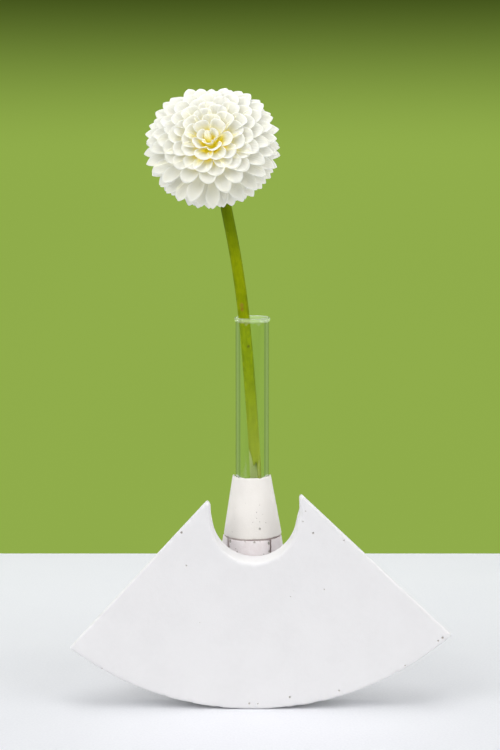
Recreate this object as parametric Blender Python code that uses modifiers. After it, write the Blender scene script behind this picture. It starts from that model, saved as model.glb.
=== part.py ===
"""Dahlia in a plaster and glass bud vase.

A single white ball dahlia leans in a clear test tube. The tube stands in a tapered plaster
collar on top of a narrow plaster fin, and a wide fan-shaped plaster plate, with a round notch
cut out of its top, closes the front.

Metres, +Z up. The origin is on the table, under the axis of the tube, and the plate faces -Y.
"""
from bisect import bisect_left
from math import asin, atan2, cos, hypot, pi, radians, sin, sqrt, tan

import bmesh
import bpy
from mathutils import Matrix, Vector

MM = 0.001
GAP = 0.3 * MM                     # clearance between pieces that touch

# Front plate: a fan cut from a disc, standing on the lowest point of its round edge
PLATE_RADIUS = 173.5 * MM          # round lower edge
PLATE_THICKNESS = 20.0 * MM
PLATE_APEX_DROP = 19.85 * MM       # from the disc's centre down to where the two sides would meet
PLATE_HALF_ANGLE = radians(44.55)  # each straight side, from the plate's own axis
PLATE_ROLL = radians(1.93)         # the fan stands rolled over by this much
PLATE_BACK_Y = -19.5 * MM
PLATE_CENTRE_X = 0.3 * MM
PLATE_DRAFT = 2.4 * MM             # the back outline's sides stand in by this, from the mould
NOTCH_RADIUS = 24.8 * MM
NOTCH_CENTRE = (-1.2 * MM, -61.6 * MM)   # from the disc's centre
NOTCH_ROUND_END = radians(8.0)           # the round part stops this far below its middle
NOTCH_WALL_RIGHT = (26.5 * MM, 3.2 * MM) # where each wall turns upright, from the notch's centre
NOTCH_WALL_LEFT = (-25.35 * MM, 1.9 * MM)
HORN_CHIP_RIGHT = (1.2 * MM, 2.3 * MM)   # broken off a tip: across, and down the notch's wall
HORN_CHIP_LEFT = (1.7 * MM, 4.1 * MM)
PLATE_EDGE = 0.7 * MM              # rounding of the cast edges

# Back fin: the narrow upright that carries the collar, at right angles to the plate
FIN_LEFT = -13.8 * MM
FIN_RIGHT = 10.4 * MM
FIN_TOP = 95.2 * MM
FIN_STEP = 84.0 * MM               # the fin is full depth up to here, and its nose is above
FIN_SEAT_BACK = 20.0 * MM          # the level top ends here and slopes down behind
FIN_LENGTH_BACK = 98.0 * MM
FIN_HEEL = 17.0 * MM               # height of the fin's upright back end

# Collar, and the two cheeks that carry its cone on down past the fin
COLLAR_TOP = 131.8 * MM
COLLAR_SEAM = 95.9 * MM
COLLAR_TOP_RADIUS = 11.4 * MM
COLLAR_SEAM_RADIUS = 17.3 * MM
COLLAR_BORE_RADIUS = 10.65 * MM
COLLAR_FLOOR = 100.6 * MM
COLLAR_LEAN = radians(0.9)         # the collar sits a little crooked on its seat
COLLAR_SHIFT = 0.25 * MM
CHEEK_BOTTOM = 84.5 * MM
CHEEK_GAP = 0.8 * MM               # open joint between the fin and each cheek
CONE_TAPER = (COLLAR_SEAM_RADIUS - COLLAR_TOP_RADIUS) / (COLLAR_TOP - COLLAR_SEAM)

# Test tube
TUBE_RADIUS = 10.0 * MM
TUBE_WALL = 1.2 * MM
TUBE_LENGTH = 125.0 * MM
TUBE_BOTTOM = COLLAR_FLOOR + GAP

# Stem: centre line from the cut end in the tube to the neck behind the bloom
STEM_RADIUS = 3.35 * MM
STEM_BORE = 2.1 * MM               # a dahlia's stem is hollow
STEM_BORE_TOP = 160.0 * MM
STEM_CUT_TOP = 147.0 * MM          # the slanting cut begins here, on the stem's left side
STEM_CUT_SLOPE = 1.4               # fall of the cut for each unit to the right
STEM_STRIP = 1.1 * MM              # below the cut, the front wall stays from here to the right
STEM_NECK_REACH = 0.55             # how far the neck keeps straight at either end, of its length
STEM_LINE = [                      # points that the stem grows along, in mm
    (2.9, 0.6, 106.5),
    (2.3, 0.4, 131.6),
    (-0.7, 0.0, 176.0),
    (-4.7, 0.4, 226.5),
    (-9.6, 2.6, 261.0),
    (-14.6, 5.6, 286.0),
]

# Bloom: the axis leaves the heart of the flower, forwards and a little up and to the left
BLOOM_CENTRE = Vector((-23.3, -11.0, 325.2)) * MM
BLOOM_ELEVATION = radians(22.0)
BLOOM_YAW = radians(-6.5)
BLOOM_RADIUS = 40.6 * MM
BLOOM_FRONT = 18.0 * MM            # centre to the heart
BLOOM_BACK = 24.0 * MM
BLOOM_SQUASH = 0.905               # a little wider than it is tall
RECEPTACLE_RADIUS = 8.4 * MM
RECEPTACLE_TOP = 1.0 * MM
RECEPTACLE_NECK = -15.0 * MM       # where the stem takes over, along the bloom's axis
ROW_COUNT = 9
ROW_FIRST = radians(20.0)          # polar angle of the first row's tips, from the heart
ROW_LAST = radians(127.0)
ROOT_FIRST = radians(30.0)         # polar angle of the first row's foot on the receptacle
ROOT_LAST = radians(112.0)
PETAL_THICKNESS = 0.9 * MM
PETAL_WIDTH = 12.8 * MM            # of an outer floret
PETAL_WIDTH_YOUNG = 0.55           # of a floret at the heart, as a share of an outer one's
PETAL_RISE = radians(12.0)         # a floret leaves its foot steeper than the dome by this
PETAL_PART = 0.24                  # depth of the clefts between the florets of a row
PETAL_CURL = 1.3 * MM              # a floret's edges stand up by this
BUD_GIRTH = 2.2 * MM               # the heart's radius at its foot and tip
BUD_SWELL = 2.4 * MM               # and what it gains between them
BUD_RIB = 0.09
BRACT_COUNT = 6
BRACT_FOOT = Vector((STEM_RADIUS + 2.4 * MM, RECEPTACLE_NECK + 1.1 * MM))
BRACT_BEND = Vector((11.0 * MM, -14.5 * MM))
BRACT_TIP = Vector((14.0 * MM, -20.5 * MM))
BRACT_PART = 0.72
BRACT_THICKNESS = 0.8 * MM

COLOURS = {
    "plaster": ((0.84, 0.84, 0.85), 0.8),
    "plaster_cream": ((0.85, 0.83, 0.78), 0.85),
    "glass": ((0.82, 0.9, 0.87), 0.05),
    "stem": ((0.22, 0.28, 0.02), 0.5),
    "leaf": ((0.2, 0.32, 0.06), 0.55),
    "petal": ((0.93, 0.93, 0.86), 0.55),
    "heart": ((0.9, 0.86, 0.62), 0.55),
}


# ---------------------------------------------------------------- scene and object helpers

def clear_scene():
    for old in list(bpy.data.objects):
        bpy.data.objects.remove(old, do_unlink=True)


def make_collection(name):
    collection = bpy.data.collections.new(name)
    bpy.context.scene.collection.children.link(collection)
    return collection


def make_material(slot):
    colour, roughness = COLOURS[slot]
    material = bpy.data.materials.get(slot) or bpy.data.materials.new(slot)
    material.use_nodes = True
    shader = material.node_tree.nodes["Principled BSDF"]
    shader.inputs["Base Color"].default_value = (*colour, 1.0)
    shader.inputs["Roughness"].default_value = roughness
    shader.inputs["Metallic"].default_value = 0.0
    if slot == "glass":
        shader.inputs["Transmission Weight"].default_value = 1.0
    return material


def add_object(name, data, collection, slot=None, parent=None):
    made = bpy.data.objects.new(name, data)
    collection.objects.link(made)
    if slot:
        data.materials.append(make_material(slot))
    if parent:
        made.parent = parent
    return made


def mesh_from(bm, name):
    mesh = bpy.data.meshes.new(name)
    bmesh.ops.recalc_face_normals(bm, faces=bm.faces)
    bm.to_mesh(mesh)
    bm.free()
    return mesh


def shade_round(made, angle=radians(35.0)):
    made.data.shade_smooth()
    made.data.set_sharp_from_angle(angle=angle)


def add_bevel(made, width, segments=2, angle=radians(30.0)):
    bevel = made.modifiers.new("rounded_edges", "BEVEL")
    bevel.width = width
    bevel.segments = segments
    bevel.limit_method = "ANGLE"
    bevel.angle_limit = angle


def add_boolean(made, cutter, operation):
    boolean = made.modifiers.new(operation.lower() + "_" + cutter.name, "BOOLEAN")
    boolean.operation = operation
    boolean.object = cutter


def as_cutter(made):
    made.display_type = "WIRE"
    made.hide_render = True
    return made


def box_mesh(name, low, high):
    bm = bmesh.new()
    size = Vector(high) - Vector(low)
    centre = (Vector(high) + Vector(low)) / 2
    bmesh.ops.create_cube(bm, size=1.0, matrix=Matrix.Translation(centre) @ Matrix.Diagonal((*size, 1.0)))
    return mesh_from(bm, name)


def cone_mesh(name, bottom, top, segments=64):
    """A frustum that follows the collar's taper between two heights."""
    bm = bmesh.new()
    bmesh.ops.create_cone(
        bm, cap_ends=True, segments=segments, radius1=cone_radius(bottom), radius2=cone_radius(top),
        depth=top - bottom, matrix=Matrix.Translation((0, 0, (top + bottom) / 2)))
    return mesh_from(bm, name)


def turned(name, profile, collection, slot, steps=48, parent=None):
    """Turn a profile of (radius, height) points, listed down the outer side, about +Z."""
    mesh = bpy.data.meshes.new(name)
    edges = [(i, i + 1) for i in range(len(profile) - 1)]
    mesh.from_pydata([(radius, 0.0, height) for radius, height in profile], edges, [])
    made = add_object(name, mesh, collection, slot, parent)
    screw = made.modifiers.new("turned", "SCREW")
    screw.axis = "Z"
    screw.steps = screw.render_steps = steps
    screw.use_merge_vertices = True
    screw.merge_threshold = 0.00001
    screw.use_smooth_shade = True
    return made


def arc(centre, radius, start, end, count):
    """Points along a circular arc, both ends included."""
    x, y = centre
    angles = [start + (end - start) * i / (count - 1) for i in range(count)]
    return [(x + radius * cos(a), y + radius * sin(a)) for a in angles]


# ---------------------------------------------------------------- plaster

def plate_outline(inset):
    """The fan in its own plane, about the disc's centre. The straight sides stand in by inset."""
    apex = -PLATE_APEX_DROP - inset / sin(PLATE_HALF_ANGLE)
    slope = 1.0 / tan(PLATE_HALF_ANGLE)
    # direction, from the disc's centre, in which a straight side meets the round edge
    corner = -pi / 2 + PLATE_HALF_ANGLE - asin(-apex * sin(PLATE_HALF_ANGLE) / PLATE_RADIUS)
    points = arc((0, 0), PLATE_RADIUS, -pi - corner, corner, 41)
    notch_x, notch_z = NOTCH_CENTRE
    wall_x, wall_z = NOTCH_WALL_RIGHT
    across, down = HORN_CHIP_RIGHT
    right = notch_x + wall_x
    points.append((right + across, apex - slope * (right + across)))
    points.append((right, apex - slope * right - down))
    points.append((right, notch_z + wall_z))
    points += arc(NOTCH_CENTRE, NOTCH_RADIUS, -NOTCH_ROUND_END, NOTCH_ROUND_END - pi, 21)
    wall_x, wall_z = NOTCH_WALL_LEFT
    across, down = HORN_CHIP_LEFT
    left = notch_x + wall_x
    points.append((left, notch_z + wall_z))
    points.append((left, apex + slope * left - down))
    points.append((left - across, apex + slope * (left - across)))
    return points


def make_front_plate(parts):
    """Loft between the front outline and the smaller back outline that the draft leaves."""
    front = plate_outline(0.0)
    back = plate_outline(PLATE_DRAFT)
    bm = bmesh.new()
    front_loop = [bm.verts.new((x, 0.0, z)) for x, z in front]
    back_loop = [bm.verts.new((x, PLATE_THICKNESS, z)) for x, z in back]
    bm.faces.new(front_loop)
    bm.faces.new(list(reversed(back_loop)))
    for i in range(len(front_loop)):
        j = (i + 1) % len(front_loop)
        bm.faces.new((front_loop[i], back_loop[i], back_loop[j], front_loop[j]))
    plate = add_object("front_plate", mesh_from(bm, "front_plate"), parts, "plaster")
    plate.location = (PLATE_CENTRE_X, PLATE_BACK_Y - PLATE_THICKNESS, PLATE_RADIUS)
    plate.rotation_euler = (0.0, -PLATE_ROLL, 0.0)
    add_bevel(plate, PLATE_EDGE)
    shade_round(plate)
    return plate


def cone_radius(height):
    return COLLAR_SEAM_RADIUS + (COLLAR_SEAM - height) * CONE_TAPER


def make_back_fin(parts, cutters):
    """A straight-sided upright; above the step, its nose follows the collar's cone."""
    front = PLATE_BACK_Y + GAP
    outline = [
        (front, 0.0),
        (FIN_LENGTH_BACK, 0.0),
        (FIN_LENGTH_BACK, FIN_HEEL),
        (FIN_SEAT_BACK, FIN_TOP),
        (0.0, FIN_TOP),
        (0.0, FIN_STEP),
        (front, FIN_STEP),
    ]
    bm = bmesh.new()
    loop = [bm.verts.new((FIN_LEFT, y, z)) for y, z in outline]
    side = bm.faces.new(loop)
    made = bmesh.ops.extrude_face_region(bm, geom=[side])
    moved = [v for v in made["geom"] if isinstance(v, bmesh.types.BMVert)]
    bmesh.ops.translate(bm, verts=moved, vec=(FIN_RIGHT - FIN_LEFT, 0, 0))
    fin = add_object("back_fin", mesh_from(bm, "back_fin"), parts, "plaster_cream")

    nose = as_cutter(add_object("fin_nose", cone_mesh("fin_nose", FIN_STEP - 1 * MM, FIN_TOP), cutters))
    width = box_mesh("fin_nose_width", (FIN_LEFT, -2 * COLLAR_SEAM_RADIUS, 0),
                     (FIN_RIGHT, FIN_SEAT_BACK / 4, 2 * FIN_TOP))
    add_boolean(nose, as_cutter(add_object("fin_nose_width", width, cutters)), "INTERSECT")
    add_boolean(fin, nose, "UNION")
    return fin


def make_cheek(name, low_x, high_x, parts, cutters):
    """The part of the lower cone that stands beside the fin."""
    cheek = add_object(name, cone_mesh(name, CHEEK_BOTTOM, FIN_TOP), parts, "plaster_cream")
    reach = 2 * COLLAR_SEAM_RADIUS
    side = box_mesh(name + "_side", (low_x, -reach, 0), (high_x, reach, 2 * FIN_TOP))
    add_boolean(cheek, as_cutter(add_object(name + "_side", side, cutters)), "INTERSECT")
    shade_round(cheek)
    return cheek


def make_collar(parts):
    """A tapered cup, turned about its own axis, which stands a little out of true."""
    height = COLLAR_TOP - COLLAR_SEAM
    floor = COLLAR_FLOOR - COLLAR_SEAM
    profile = [
        (0.0, floor),
        (COLLAR_BORE_RADIUS, floor),
        (COLLAR_BORE_RADIUS, height - 0.2 * MM),
        (COLLAR_BORE_RADIUS + 0.2 * MM, height),
        (COLLAR_TOP_RADIUS - 0.2 * MM, height),
        (COLLAR_TOP_RADIUS, height - 0.4 * MM),
        (COLLAR_SEAM_RADIUS, 0.3 * MM),
        (COLLAR_SEAM_RADIUS - 0.3 * MM, 0.0),
        (0.0, 0.0),
    ]
    collar = turned("collar", profile, parts, "plaster_cream", steps=56)
    collar.location = (COLLAR_SHIFT, 0.0, COLLAR_SEAM)
    collar.rotation_euler = (0.0, -COLLAR_LEAN, 0.0)
    return collar


# ---------------------------------------------------------------- glass

def make_tube(parts):
    """One wall thickness all the way down and round the bottom, with a fire-rounded rim."""
    top = TUBE_BOTTOM + TUBE_LENGTH
    centre = TUBE_BOTTOM + TUBE_RADIUS
    inner = TUBE_RADIUS - TUBE_WALL
    lip = TUBE_WALL / 2
    inside = [(max(x, 0.0), z) for x, z in arc((0, centre), inner, -pi / 2, 0, 7)]
    rim = arc((TUBE_RADIUS - lip, top - lip), lip, pi, 0, 6)
    outside = [(max(x, 0.0), z) for x, z in arc((0, centre), TUBE_RADIUS, 0, -pi / 2, 8)]
    return turned("glass_tube", inside + rim + outside, parts, "glass", steps=36)


# ---------------------------------------------------------------- flower

def bloom_matrix():
    turn = Matrix.Rotation(BLOOM_YAW, 4, "Z") @ Matrix.Rotation(pi / 2 - BLOOM_ELEVATION, 4, "X")
    return Matrix.Translation(BLOOM_CENTRE) @ turn


def stem_points():
    """The grown line, then the neck, which bows back and turns forward into the bloom."""
    points = [Vector(p) * MM for p in STEM_LINE]
    to_world = bloom_matrix()
    neck = RECEPTACLE_NECK - GAP
    start = points[-1]
    end = to_world @ Vector((0, 0, neck))
    axis = (to_world.to_3x3() @ Vector((0, 0, 1))).normalized()
    leave = (points[-1] - points[-2]).normalized()
    reach = (end - start).length * STEM_NECK_REACH
    handle_a = start + leave * reach
    handle_b = end - axis * reach
    for i in range(1, 9):
        t = i / 8
        s = 1 - t
        points.append(s**3 * start + 3 * s * s * t * handle_a + 3 * s * t * t * handle_b + t**3 * end)
    return points


def make_stem(parts, cutters):
    stem = add_object("stem", stem_mesh("stem", STEM_RADIUS, stem_points(), 4), parts, "stem")
    bottom = Vector(STEM_LINE[0]) * MM
    lower = [Vector(p) * MM for p in STEM_LINE[:3]]
    bore_end = lower[1].lerp(lower[2], (STEM_BORE_TOP - lower[1].z) / (lower[2].z - lower[1].z))
    bore_line = [bottom - Vector((0, 0, 3 * MM)), lower[0], lower[1], bore_end]
    bore = add_object("stem_bore", stem_mesh("stem_bore", STEM_BORE, bore_line, 2), cutters)
    add_boolean(stem, as_cutter(bore), "DIFFERENCE")
    cut = add_object("stem_cut", stem_cut_mesh(), cutters)
    add_boolean(stem, as_cutter(cut), "DIFFERENCE")
    stem.data.shade_smooth()
    return stem


def stem_mesh(name, radius, points, resolution):
    """A round rod along a smooth line, as a closed mesh."""
    curve = bpy.data.curves.new(name + "_line", "CURVE")
    curve.dimensions = "3D"
    curve.bevel_depth = radius
    curve.bevel_resolution = resolution - 2
    curve.use_fill_caps = True
    curve.resolution_u = 4
    spline = curve.splines.new("NURBS")
    spline.points.add(len(points) - 1)
    for place, point in zip(spline.points, points):
        place.co = (*point, 1.0)
    spline.order_u = 3
    spline.use_endpoint_u = True
    rod = bpy.data.objects.new(name + "_line", curve)
    bpy.context.scene.collection.objects.link(rod)
    bpy.context.view_layer.update()
    evaluated = rod.evaluated_get(bpy.context.evaluated_depsgraph_get())
    mesh = bpy.data.meshes.new_from_object(evaluated)
    mesh.name = name
    bm = bmesh.new()
    bm.from_mesh(mesh)
    bmesh.ops.remove_doubles(bm, verts=bm.verts, dist=0.00001)
    bmesh.ops.recalc_face_normals(bm, faces=bm.faces)
    bm.to_mesh(mesh)
    bm.free()
    bpy.data.objects.remove(rod, do_unlink=True)
    return mesh


def stem_cut_mesh():
    """The stem's lower end is split: its front left half is gone below a slanting cut."""
    size = 60 * MM
    axis = Vector(STEM_LINE[1]) * MM
    bm = bmesh.new()
    bmesh.ops.create_cube(bm, size=size)
    bmesh.ops.translate(bm, verts=bm.verts, vec=(-size / 2, -size / 2, -size / 2))
    for vert in bm.verts:
        if vert.co.z > -size / 2:
            vert.co.z -= STEM_CUT_SLOPE * (vert.co.x + STEM_RADIUS + STEM_STRIP)
    corner = Vector((axis.x + STEM_STRIP, axis.y, STEM_CUT_TOP))
    bmesh.ops.translate(bm, verts=bm.verts, vec=corner)
    return mesh_from(bm, "stem_cut")


def bloom_reach(polar):
    """Distance from the bloom's centre to its surface, at an angle from the heart."""
    depth = BLOOM_FRONT if polar < pi / 2 else BLOOM_BACK
    return 1.0 / sqrt((sin(polar) / BLOOM_RADIUS) ** 2 + (cos(polar) / depth) ** 2)


def bloom_point(polar):
    reach = bloom_reach(polar)
    return Vector((reach * sin(polar), reach * cos(polar)))


def row_tips():
    """Polar angles of the rows' tips, an even distance apart over the bloom's surface."""
    steps = 400
    angles = [ROW_FIRST + (ROW_LAST - ROW_FIRST) * i / steps for i in range(steps + 1)]
    walked = [0.0]
    for before, after in zip(angles, angles[1:]):
        walked.append(walked[-1] + (bloom_point(after) - bloom_point(before)).length)
    spacing = walked[-1] / (ROW_COUNT - 1)
    return [angles[min(bisect_left(walked, spacing * i), steps)] for i in range(ROW_COUNT)]


def on_receptacle(polar, clearance):
    """A point (radius, height) just off the receptacle's dome."""
    radius = RECEPTACLE_RADIUS + clearance
    centre = RECEPTACLE_TOP - RECEPTACLE_RADIUS
    return Vector((radius * sin(polar), centre + radius * cos(polar)))


def row_profile(root, tip, along):
    """A floret's centre line as (radius, height): it rises off the receptacle, then arches out."""
    start = on_receptacle(root, GAP + PETAL_THICKNESS / 2)
    end = bloom_point(tip)
    lean = root - PETAL_RISE
    handle = start + Vector((sin(lean), cos(lean))) * (end - start).length * 0.5
    return (1 - along) ** 2 * start + 2 * (1 - along) * along * handle + along**2 * end


def squash(along):
    """The bloom is round at its middle and a little wider than tall at the floret tips."""
    return 1.0 - (1.0 - BLOOM_SQUASH) * along


def make_petal_row(index, tip, parts, frame):
    """One ring of florets, joined at the foot: a grid wrapped round the axis and scalloped."""
    root = ROOT_FIRST + (ROOT_LAST - ROOT_FIRST) * index / (ROW_COUNT - 1)
    girth = 2 * pi * bloom_point(tip).x
    ripe = sin(min(tip, pi / 2))
    width = PETAL_WIDTH * (PETAL_WIDTH_YOUNG + (1 - PETAL_WIDTH_YOUNG) * ripe)
    florets = max(6, round(girth / width))
    around = florets * 4
    rings = 4
    half_step = pi / florets * (index % 2)

    bm = bmesh.new()
    bmesh.ops.create_grid(bm, x_segments=around, y_segments=rings, size=0.5)
    for vert in bm.verts:
        turn = 2 * pi * (vert.co.x + 0.5)
        along = vert.co.y + 0.5
        edge = abs(sin(florets * turn / 2))          # 0 on a floret's middle, 1 between florets
        along *= 1.0 - PETAL_PART * edge**5
        place = row_profile(root, tip, along)
        ahead = row_profile(root, tip, along + 0.01) - place
        normal = Vector((-ahead.y, ahead.x)).normalized()
        place += normal * (PETAL_CURL * edge**2 * along)
        angle = turn + half_step
        vert.co = (place.x * cos(angle), squash(along) * place.x * sin(angle), place.y)
    bmesh.ops.remove_doubles(bm, verts=bm.verts, dist=0.00002)
    name = f"petal_row_{index + 1}"
    mesh = mesh_from(bm, name)
    row = add_object(name, mesh, parts, "petal", frame)
    shell = row.modifiers.new("petal_thickness", "SOLIDIFY")
    shell.thickness = PETAL_THICKNESS
    shell.offset = 0.0
    mesh.shade_smooth()
    return row


def make_heart_bud(parts, frame):
    """The closed florets in the middle, still folded over one another in a ribbed bud."""
    foot = on_receptacle(0.0, GAP).y
    height = BLOOM_FRONT - foot
    bm = bmesh.new()
    bmesh.ops.create_uvsphere(bm, u_segments=24, v_segments=12, radius=1.0)
    for vert in bm.verts:
        turn = atan2(vert.co.y, vert.co.x)
        rib = 1.0 + BUD_RIB * cos(6 * turn) * hypot(vert.co.x, vert.co.y)
        rise = (vert.co.z + 1) / 2
        girth = BUD_GIRTH + BUD_SWELL * sin(pi * rise**1.3)
        vert.co = (vert.co.x * rib * girth, vert.co.y * rib * girth, foot + rise * height)
    bud = add_object("heart_bud", mesh_from(bm, "heart_bud"), parts, "heart", frame)
    bud.data.shade_smooth()
    return bud


def make_receptacle(parts, frame):
    """The green dome that the florets stand on, narrowing to the stem behind."""
    centre = RECEPTACLE_TOP - RECEPTACLE_RADIUS
    dome = [(max(x, 0.0), z) for x, z in arc((0, centre), RECEPTACLE_RADIUS, pi / 2, -pi / 5, 9)]
    neck = [(STEM_RADIUS + 0.6 * MM, RECEPTACLE_NECK + 0.6 * MM), (STEM_RADIUS, RECEPTACLE_NECK)]
    profile = dome + neck + [(0.0, RECEPTACLE_NECK)]
    return turned("receptacle", profile, parts, "leaf", steps=24, parent=frame)


def make_bracts(parts, frame):
    """Green bracts behind the florets, joined in a ring round the neck."""
    bm = bmesh.new()
    bmesh.ops.create_grid(bm, x_segments=BRACT_COUNT * 6, y_segments=4, size=0.5)
    for vert in bm.verts:
        turn = 2 * pi * (vert.co.x + 0.5)
        along = vert.co.y + 0.5
        edge = abs(sin(BRACT_COUNT * turn / 2))
        along *= 1.0 - BRACT_PART * edge**1.5
        near = (1 - along) ** 2 * BRACT_FOOT + 2 * (1 - along) * along * BRACT_BEND
        place = near + along**2 * BRACT_TIP
        vert.co = (place.x * cos(turn), place.x * sin(turn), place.y)
    bmesh.ops.remove_doubles(bm, verts=bm.verts, dist=0.00002)
    bracts = add_object("bracts", mesh_from(bm, "bracts"), parts, "leaf", frame)
    shell = bracts.modifiers.new("bract_thickness", "SOLIDIFY")
    shell.thickness = BRACT_THICKNESS
    shell.offset = 0.0
    bracts.data.shade_smooth()
    return bracts


def main():
    clear_scene()
    parts = make_collection("dahlia_in_vase")
    cutters = make_collection("cutters")

    make_front_plate(parts)
    make_back_fin(parts, cutters)
    reach = 2 * COLLAR_SEAM_RADIUS
    make_cheek("cheek_left", -reach, FIN_LEFT - CHEEK_GAP, parts, cutters)
    make_cheek("cheek_right", FIN_RIGHT + CHEEK_GAP, reach, parts, cutters)
    make_collar(parts)
    make_tube(parts)
    make_stem(parts, cutters)

    frame = add_object("bloom_frame", None, parts)
    frame.matrix_world = bloom_matrix()
    make_receptacle(parts, frame)
    make_bracts(parts, frame)
    for index, tip in enumerate(row_tips()):
        make_petal_row(index, tip, parts, frame)
    make_heart_bud(parts, frame)


main()
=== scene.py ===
# %% [markdown]
# # A ball dahlia in a plaster and glass bud vase
#
# One white ball dahlia leans in a clear test tube. The tube stands in a tapered plaster collar, and
# the collar stands on a narrow plaster fin behind a wide fan-shaped plate with a round notch.
#
# The solid frame of the object is made elsewhere and is loaded here as it is. This lesson makes what
# the eye sees: worn plaster, clear glass, a green stem and about 200 separate florets.

# %% The frame
import random
from math import atan2, cos, exp, hypot, pi, radians, sin, sqrt, tau

import bmesh
import bpy
from mathutils import Matrix, Vector, noise
from numpy import interp


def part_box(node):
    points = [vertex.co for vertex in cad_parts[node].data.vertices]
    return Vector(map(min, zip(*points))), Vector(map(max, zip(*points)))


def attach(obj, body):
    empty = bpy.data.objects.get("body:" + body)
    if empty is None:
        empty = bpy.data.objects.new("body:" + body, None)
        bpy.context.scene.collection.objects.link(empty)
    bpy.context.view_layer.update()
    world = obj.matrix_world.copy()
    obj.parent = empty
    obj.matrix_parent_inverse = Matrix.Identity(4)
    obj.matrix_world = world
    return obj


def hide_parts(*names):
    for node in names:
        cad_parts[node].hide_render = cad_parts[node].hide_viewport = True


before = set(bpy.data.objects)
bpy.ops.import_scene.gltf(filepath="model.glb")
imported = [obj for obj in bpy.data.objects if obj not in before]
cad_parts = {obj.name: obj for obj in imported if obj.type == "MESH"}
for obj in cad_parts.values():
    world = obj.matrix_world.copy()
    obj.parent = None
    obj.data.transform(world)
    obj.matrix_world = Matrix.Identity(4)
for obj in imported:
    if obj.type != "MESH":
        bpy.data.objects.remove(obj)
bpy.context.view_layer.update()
MM = 0.001

# %% [markdown]
# ## Camera
#
# A long lens a good metre away keeps the tube's sides parallel. The camera stands at about the
# height of the bloom and looks down by less than eight degrees, so the notch shows its floor and
# the table shows its far edge.

# %% Camera
CAMERA_AT = Vector((-0.00135, -1.083, 0.336))
LOOK_DOWN = radians(7.6)
LENS, SENSOR_WIDTH = 88.8, 36.0    # in mm


def place_camera():
    data = bpy.data.cameras.new("camera")
    data.lens = LENS
    data.sensor_width = SENSOR_WIDTH
    data.dof.use_dof = False
    camera = bpy.data.objects.new("camera", data)
    bpy.context.scene.collection.objects.link(camera)
    camera.location = CAMERA_AT
    camera.rotation_euler = (pi / 2 - LOOK_DOWN, 0.0, 0.0)
    bpy.context.scene.camera = camera


place_camera()
print("camera:", LENS, "mm lens,", round(-CAMERA_AT.y, 2), "m in front of the tube")

# %% [markdown]
# ## A way to write finishes
#
# A finish is a tree of shader nodes. Drawn by hand the tree soon gets hard to read, so two small
# classes let it be written as arithmetic. `Field` wraps one output socket: `1 - pores` adds a Math
# node. `Paint` holds one material, and its `node` method makes every other kind of node.

# %% Field
class Field:
    """An output socket that varies over a surface and can be used in sums."""

    def __init__(self, paint, socket):
        self.paint = paint
        self.socket = socket

    def maths(self, operation, first, second):
        return self.paint.node("Math", {"operation": operation}, {0: first, 1: second})

    def __add__(self, other):
        return self.maths("ADD", self, other)

    def __sub__(self, other):
        return self.maths("SUBTRACT", self, other)

    def __rsub__(self, other):
        return self.maths("SUBTRACT", other, self)

    def __mul__(self, other):
        return self.maths("MULTIPLY", self, other)

    def __pow__(self, other):
        return self.maths("POWER", self, other)

    __radd__ = __add__
    __rmul__ = __mul__


# %% Paint
class Paint:
    """One material, with the nodes that lead to its Principled shader."""

    def __init__(self, name, **constants):
        self.material = bpy.data.materials.new(name)
        self.material.use_nodes = True
        self.tree = self.material.node_tree
        self.shader = self.tree.nodes["Principled BSDF"]
        for socket, value in constants.items():
            self.shader.inputs[socket.replace("_", " ")].default_value = value

    def node(self, kind, settings=None, inputs=None, output=0):
        made = self.tree.nodes.new("ShaderNode" + kind)
        for key, value in (settings or {}).items():
            setattr(made, key, value)
        for key, value in (inputs or {}).items():
            self.feed(made.inputs[key], value)
        return Field(self, made.outputs[output])

    def feed(self, socket, value):
        if isinstance(value, Field):
            self.tree.links.new(value.socket, socket)
        else:
            socket.default_value = value

    def set(self, socket, field):
        self.feed(self.shader.inputs[socket], field)

    def place(self):
        """Where a point of the surface is, in metres."""
        return self.node("TexCoord", output="Object")

    def cloud(self, place, size, detail=2.0, roughness=0.5):
        """Soft noise between 0 and 1, whose patches are about size metres across."""
        inputs = {"Vector": place, "Scale": 1.0 / size, "Detail": detail, "Roughness": roughness}
        return self.node("TexNoise", None, inputs)

    def between(self, field, low, high):
        """0 below low, 1 above high, with a smooth step between them. Low may be the larger."""
        settings = {"interpolation_type": "SMOOTHSTEP"}
        return self.node("MapRange", settings, {"Value": field, "From Min": low, "From Max": high})

    def mix(self, share, first, second):
        """A colour between first, where share is 0, and second, where share is 1."""
        settings = {"data_type": "RGBA"}
        return self.node("Mix", settings, {"Factor": share, 6: first, 7: second}, output=2)

    def bump(self, height, depth, strength=1.0):
        """Height, between 0 and 1, becomes a relief that is depth metres deep."""
        inputs = {"Height": height, "Distance": depth, "Strength": strength}
        self.set("Normal", self.node("Bump", None, inputs))


def colour(red, green, blue):
    return (red, green, blue, 1.0)


# %% [markdown]
# ## Stage and light
#
# The vase stands on a pale table whose far edge shows behind it; painted light pales its top a little
# towards that edge. Behind the table is a plain wall of soft green that glows by itself, with painted
# shade darkening it at the top, so that white petals and clear glass stand out. The wall goes all the
# way round, further off than the camera, so that every side of the vase can be looked at. Light passes
# through the wall as if it weren't there: only the camera, the glass and the highlights see it.
#
# Clear glass is drawn by what it mirrors and bends. Four upright cards, two pale and two dim, stand
# to the left and right behind the table. The camera doesn't see them, but the tube's wall does, and
# it shows each as a fine upright line along its edges.

# %% Two helpers for every mesh
def link(name, mesh):
    made = bpy.data.objects.new(name, mesh)
    bpy.context.scene.collection.objects.link(made)
    return made


def mesh_of(bm, name, smooth=True):
    """Turn what was built in bm into a mesh, and let bm go."""
    mesh = bpy.data.meshes.new(name)
    bm.to_mesh(mesh)
    bm.free()
    if smooth:
        mesh.shade_smooth()
    return mesh


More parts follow.
